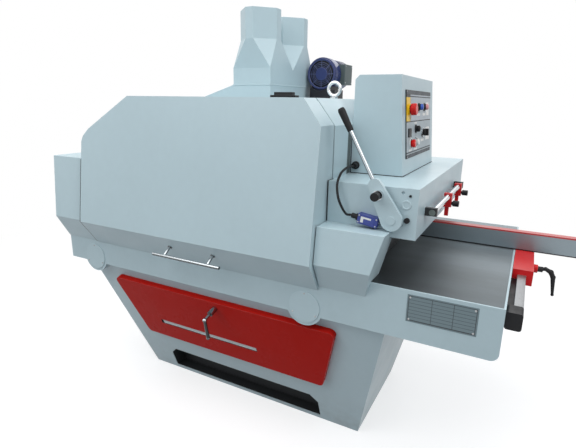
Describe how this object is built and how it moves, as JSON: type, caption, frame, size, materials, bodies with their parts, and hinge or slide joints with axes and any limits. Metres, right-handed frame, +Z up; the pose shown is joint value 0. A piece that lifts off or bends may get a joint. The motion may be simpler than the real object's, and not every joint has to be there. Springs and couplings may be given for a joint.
{
  "type": "multi rip saw",
  "caption": "Floor-standing multi rip saw: tapered cabinet base, bed with through feed, hinged saw hood, control cabinet, rip fence, twin dust outlets and lift lever.",
  "frame": {"origin": "centre of the base's footprint, on the floor", "axes": "+X towards the infeed end where the boards go in, -Y towards the hood side, +Z up"},
  "size_m": [2.524, 1.0917, 1.662],
  "materials": {
    "body_paint": "satin",
    "red_paint": "satin",
    "navy_paint": "satin",
    "grey_paint": "satin",
    "black_plastic": "matte",
    "blue_plastic": "satin",
    "red_plastic": "gloss",
    "white_plastic": "gloss",
    "chrome": "polished",
    "steel": "ground",
    "black_steel": "satin",
    "aluminium": "satin",
    "cast_paint": "satin paint",
    "rubber": "matte"
  },
  "bodies": {
    "machine_frame": {"base_cabinet": "body_paint", "bed": "cast_paint", "bearing_covers": "body_paint", "small_screws": "steel", "infeed_table": "steel", "nameplate": "aluminium", "fence_rail": "black_steel", "fence_scale": "aluminium", "main_housing": "body_paint", "hood_hinge": "steel", "hood_interlock": "black_plastic", "infeed_cover": "body_paint", "outfeed_cover": "body_paint", "infeed_head": "body_paint", "dust_base": "body_paint", "dust_outlets": "body_paint", "lift_gearbox": "black_steel", "lift_motor": "navy_paint", "motor_terminal_box": "grey_paint", "lifting_eyes": "chrome", "control_cabinet": "body_paint", "control_panel": "black_plastic", "cable_glands": "black_plastic", "limit_switch": "blue_plastic", "switch_cable": "rubber", "pointer_bar": "chrome", "head_plugs": "black_plastic", "arbor_housing": "cast_paint", "main_motor": "navy_paint", "drive_belts": "rubber"},
    "hood": {"hood_door": "body_paint", "hood_handle": "chrome"},
    "base_door": {"access_door": "red_paint"},
    "base_door_latch": {"door_latch": "chrome"},
    "lift_lever": {"lever_arm": "body_paint", "lever_rod": "chrome", "lever_grip": "black_plastic", "kickback_fingers": "steel"},
    "index_pin": {"index_plunger": "black_plastic"},
    "switch_pin": {"switch_plunger": "chrome"},
    "fence": {"fence_block": "red_paint", "fence_profile": "aluminium"},
    "fence_clamp": {"fence_clamp_lever": "black_plastic"},
    "front_pointer": {"pointer_front": "red_paint"},
    "front_pointer_knob": {"pointer_knob_front": "black_plastic"},
    "rear_pointer": {"pointer_rear": "red_paint"},
    "rear_pointer_knob": {"pointer_knob_rear": "black_plastic"},
    "e_stop": {"e_stop_button": "red_plastic"},
    "stop": {"stop_button": "red_plastic"},
    "start": {"start_button": "white_plastic"},
    "selector": {"mode_selector": "black_plastic"},
    "arbor": {"saw_arbor": "steel", "saw_blades": "steel"},
    "motor_rotor": {"motor_pulley": "steel"},
    "lower_roller_in": {"feed_roller_infeed": "steel"},
    "lower_roller_out": {"feed_roller_outfeed": "steel"},
    "pressing_unit": {"pressure_frame": "body_paint"},
    "upper_roller_in": {"pressure_roller_infeed": "rubber"},
    "upper_roller_out": {"pressure_roller_outfeed": "rubber"},
    "screw": {"lift_screw": "steel"}
  },
  "joints": [
    {"name": "hood_swing", "type": "hinge", "parent": "machine_frame", "child": "hood", "pos_m": [0, -0.415, 1.322], "axis": [-1, 0, 0], "range_deg": [0, 75]},
    {"name": "base_door_swing", "type": "hinge", "parent": "machine_frame", "child": "base_door", "pos_m": [0, -0.35533, 0.24503], "axis": [1, 0, 0], "range_deg": [0, 90]},
    {"name": "latch_turn", "type": "hinge", "parent": "base_door", "child": "base_door_latch", "pos_m": [0, -0.46935, 0.51633], "axis": [0, -0.9381, -0.3464], "range_deg": [0, 90]},
    {"name": "lever_swing", "type": "hinge", "parent": "machine_frame", "child": "lift_lever", "pos_m": [0.68, 0, 0.972], "axis": [0, 1, 0], "range_deg": [0, 45]},
    {"name": "index_pull", "type": "slide", "parent": "lift_lever", "child": "index_pin", "axis": [0, -1, 0], "range_m": [0, 0.01], "stiffness_N_per_m": 400, "springref_m": -0.004},
    {"name": "switch_press", "type": "slide", "parent": "machine_frame", "child": "switch_pin", "axis": [-0.9877, 0, 0.1564], "range_m": [0, 0.003], "stiffness_N_per_m": 300, "springref_m": -0.002},
    {"name": "fence_slide", "type": "slide", "parent": "machine_frame", "child": "fence", "axis": [0, 1, 0], "range_m": [-0.2, 0.15]},
    {"name": "fence_clamp_turn", "type": "hinge", "parent": "fence", "child": "fence_clamp", "pos_m": [1.11, -0.006, 0.743], "axis": [1, 0, 0], "range_deg": [-90, 90]},
    {"name": "front_pointer_slide", "type": "slide", "parent": "machine_frame", "child": "front_pointer", "axis": [0, 1, 0], "range_m": [-0.25, 0.2]},
    {"name": "front_knob_turn", "type": "hinge", "parent": "front_pointer", "child": "front_pointer_knob", "pos_m": [0.79, -0.06, 0.959], "axis": [1, 0, 0], "range_deg": [0, 270]},
    {"name": "rear_pointer_slide", "type": "slide", "parent": "machine_frame", "child": "rear_pointer", "axis": [0, 1, 0], "range_m": [-0.2, 0.02]},
    {"name": "rear_knob_turn", "type": "hinge", "parent": "rear_pointer", "child": "rear_pointer_knob", "pos_m": [0.79, 0.185, 0.959], "axis": [1, 0, 0], "range_deg": [0, 270]},
    {"name": "e_stop_press", "type": "slide", "parent": "machine_frame", "child": "e_stop", "axis": [-0.9965, 0, -0.083], "range_m": [0, 0.004], "stiffness_N_per_m": 800, "springref_m": -0.001},
    {"name": "stop_press", "type": "slide", "parent": "machine_frame", "child": "stop", "axis": [-0.9965, 0, -0.083], "range_m": [0, 0.004], "stiffness_N_per_m": 500, "springref_m": -0.001},
    {"name": "start_press", "type": "slide", "parent": "machine_frame", "child": "start", "axis": [-0.9965, 0, -0.083], "range_m": [0, 0.004], "stiffness_N_per_m": 500, "springref_m": -0.001},
    {"name": "selector_turn", "type": "hinge", "parent": "machine_frame", "child": "selector", "pos_m": [0.63562, 0.04, 1.20553], "axis": [0.9965, 0, 0.083], "range_deg": [-45, 45]},
    {"name": "arbor_spin", "type": "hinge", "parent": "machine_frame", "child": "arbor", "pos_m": [-0.1, 0, 0.934], "axis": [0, 1, 0], "continuous": true},
    {"name": "motor_spin", "type": "hinge", "parent": "machine_frame", "child": "motor_rotor", "pos_m": [-0.1, 0, 0.33], "axis": [0, 1, 0], "continuous": true},
    {"name": "lower_in_spin", "type": "hinge", "parent": "machine_frame", "child": "lower_roller_in", "pos_m": [0.33, 0, 0.716], "axis": [0, 1, 0], "continuous": true},
    {"name": "lower_out_spin", "type": "hinge", "parent": "machine_frame", "child": "lower_roller_out", "pos_m": [-0.53, 0, 0.716], "axis": [0, 1, 0], "continuous": true},
    {"name": "pressing_lift", "type": "slide", "parent": "machine_frame", "child": "pressing_unit", "axis": [0, 0, 1], "range_m": [-0.045, 0.045]},
    {"name": "upper_in_spin", "type": "hinge", "parent": "pressing_unit", "child": "upper_roller_in", "pos_m": [0.33, 0, 0.88], "axis": [0, 1, 0], "continuous": true},
    {"name": "upper_out_spin", "type": "hinge", "parent": "pressing_unit", "child": "upper_roller_out", "pos_m": [-0.53, 0, 0.88], "axis": [0, 1, 0], "continuous": true},
    {"name": "screw_turn", "type": "hinge", "parent": "machine_frame", "child": "screw", "pos_m": [0.215, 0.182, 1.2], "axis": [0, 0, 1], "range_deg": [-2702, 2702]}
  ],
  "couplings": [
    {"joint": "motor_spin", "follows": "arbor_spin", "ratio": 1},
    {"joint": "lower_out_spin", "follows": "lower_in_spin", "ratio": 1},
    {"joint": "screw_turn", "follows": "pressing_lift", "rad_per_m": 1047.2}
  ]
}
